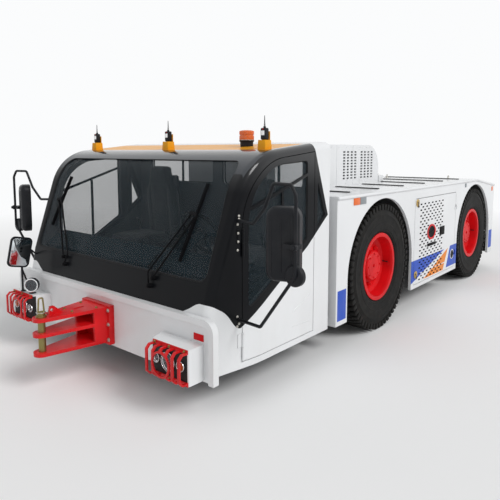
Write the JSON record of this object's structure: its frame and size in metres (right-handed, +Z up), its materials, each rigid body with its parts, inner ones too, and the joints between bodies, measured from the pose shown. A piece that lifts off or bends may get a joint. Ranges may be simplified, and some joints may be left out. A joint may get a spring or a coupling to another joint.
{
  "type": "aircraft pushback tractor",
  "caption": "Low pushback tractor with a full-width front cab, flat deck, steered wheels, hinged doors and a pin hitch at each end.",
  "frame": {"origin": "middle of the overall box, on the ground under the tyres", "axes": "+X forward, +Y to the left, +Z up"},
  "size_m": [6.959, 3.5318, 1.985],
  "materials": {
    "body_white": "gloss white paint",
    "roof_yellow": "gloss golden yellow paint",
    "frame_black": "gloss black paint",
    "chassis_black": "satin black paint",
    "hitch_red": "gloss red paint",
    "rim_red": "gloss red paint",
    "tyre": "black rubber",
    "liner_grey": "grey sealed liner",
    "tinted_glass": "green tinted glass",
    "lamp_glass": "clear moulded lens",
    "tail_red": "red lens",
    "beacon_orange": "orange lens",
    "pin_olive": "olive zinc plating",
    "mirror_black": "black plastic and tube",
    "seat_cloth": "dark grey cloth",
    "interior_black": "grained black plastic",
    "engine_grey": "painted cast iron"
  },
  "bodies": {
    "chassis": {"aerials": "roof_yellow", "arch_liners_front": "liner_grey", "arch_liners_rear": "liner_grey", "axle_front": "chassis_black", "axle_rear": "chassis_black", "beacon": "beacon_orange", "body_front_wall": "body_white", "cab_frame": "frame_black", "cab_shell": "body_white", "cooling_housing": "body_white", "corner_mirror": "mirror_black", "dashboard": "interior_black", "deck": "body_white", "engine_block": "engine_grey", "front_hitch": "hitch_red", "front_plate": "body_white", "headlamps": "lamp_glass", "lamp_boxes": "body_white", "lamp_guards": "hitch_red", "main_frame": "chassis_black", "mirrors": "mirror_black", "quarter_glass": "tinted_glass", "rear_hitch": "hitch_red", "rear_window": "tinted_glass", "roof": "roof_yellow", "seats": "seat_cloth", "side_panel_left": "body_white", "side_panel_right": "body_white", "tail_lamps": "tail_red", "tail_panel": "body_white", "windscreen": "tinted_glass", "wipers": "mirror_black", "work_lamp": "mirror_black"},
    "knuckle_body_front_left": {"knuckle_front_left": "chassis_black"},
    "wheel_front_left": {"rim_front_left": "rim_red", "tyre_front_left": "tyre"},
    "knuckle_body_rear_left": {"knuckle_rear_left": "chassis_black"},
    "wheel_rear_left": {"rim_rear_left": "rim_red", "tyre_rear_left": "tyre"},
    "cab_door_left": {"door_panel_left": "body_white", "door_frame_left": "frame_black", "door_glass_left": "tinted_glass"},
    "service_lid_left": {"service_door_left": "body_white"},
    "knuckle_body_front_right": {"knuckle_front_right": "chassis_black"},
    "wheel_front_right": {"rim_front_right": "rim_red", "tyre_front_right": "tyre"},
    "knuckle_body_rear_right": {"knuckle_rear_right": "chassis_black"},
    "wheel_rear_right": {"rim_rear_right": "rim_red", "tyre_rear_right": "tyre"},
    "cab_door_right": {"door_panel_right": "body_white", "door_frame_right": "frame_black", "door_glass_right": "tinted_glass"},
    "service_lid_right": {"service_door_right": "body_white"},
    "front_pin": {"front_hitch_pin": "pin_olive"},
    "rear_pin": {"rear_hitch_pin": "pin_olive"}
  },
  "joints": [
    {"name": "steer_front_left", "type": "hinge", "parent": "chassis", "child": "knuckle_body_front_left", "pos_m": [0.6075, 0.86, 0.613], "axis": [0, 0, 1], "range_deg": [-30, 30]},
    {"name": "spin_front_left", "type": "hinge", "parent": "knuckle_body_front_left", "child": "wheel_front_left", "pos_m": [0.6075, 1.08, 0.613], "axis": [0, 1, 0], "continuous": true},
    {"name": "steer_rear_left", "type": "hinge", "parent": "chassis", "child": "knuckle_body_rear_left", "pos_m": [-2.1425, 0.86, 0.613], "axis": [0, 0, 1], "range_deg": [-30, 30]},
    {"name": "spin_rear_left", "type": "hinge", "parent": "knuckle_body_rear_left", "child": "wheel_rear_left", "pos_m": [-2.1425, 1.08, 0.613], "axis": [0, 1, 0], "continuous": true},
    {"name": "cab_door_left", "type": "hinge", "parent": "chassis", "child": "cab_door_left", "pos_m": [2.6175, 1.20448, 0.7], "axis": [0, 0, -1], "range_deg": [0, 70]},
    {"name": "service_door_left", "type": "hinge", "parent": "chassis", "child": "service_lid_left", "pos_m": [-1.3855, 1.259, 0.7], "axis": [0, 0, 1], "range_deg": [0, 90]},
    {"name": "steer_front_right", "type": "hinge", "parent": "chassis", "child": "knuckle_body_front_right", "pos_m": [0.6075, -0.86, 0.613], "axis": [0, 0, 1], "range_deg": [-30, 30]},
    {"name": "spin_front_right", "type": "hinge", "parent": "knuckle_body_front_right", "child": "wheel_front_right", "pos_m": [0.6075, -1.08, 0.613], "axis": [0, 1, 0], "continuous": true},
    {"name": "steer_rear_right", "type": "hinge", "parent": "chassis", "child": "knuckle_body_rear_right", "pos_m": [-2.1425, -0.86, 0.613], "axis": [0, 0, 1], "range_deg": [-30, 30]},
    {"name": "spin_rear_right", "type": "hinge", "parent": "knuckle_body_rear_right", "child": "wheel_rear_right", "pos_m": [-2.1425, -1.08, 0.613], "axis": [0, 1, 0], "continuous": true},
    {"name": "cab_door_right", "type": "hinge", "parent": "chassis", "child": "cab_door_right", "pos_m": [2.6175, -1.20448, 0.7], "axis": [0, 0, 1], "range_deg": [0, 70]},
    {"name": "service_door_right", "type": "hinge", "parent": "chassis", "child": "service_lid_right", "pos_m": [-1.3855, -1.259, 0.7], "axis": [0, 0, -1], "range_deg": [0, 90]},
    {"name": "front_pin_lift", "type": "slide", "parent": "chassis", "child": "front_pin", "axis": [0, 0, 1], "range_m": [0, 0.26]},
    {"name": "rear_pin_lift", "type": "slide", "parent": "chassis", "child": "rear_pin", "axis": [0, 0, 1], "range_m": [0, 0.26]}
  ],
  "couplings": [
    {"joint": "steer_front_right", "follows": "steer_front_left", "ratio": 1},
    {"joint": "steer_rear_right", "follows": "steer_rear_left", "ratio": 1}
  ]
}
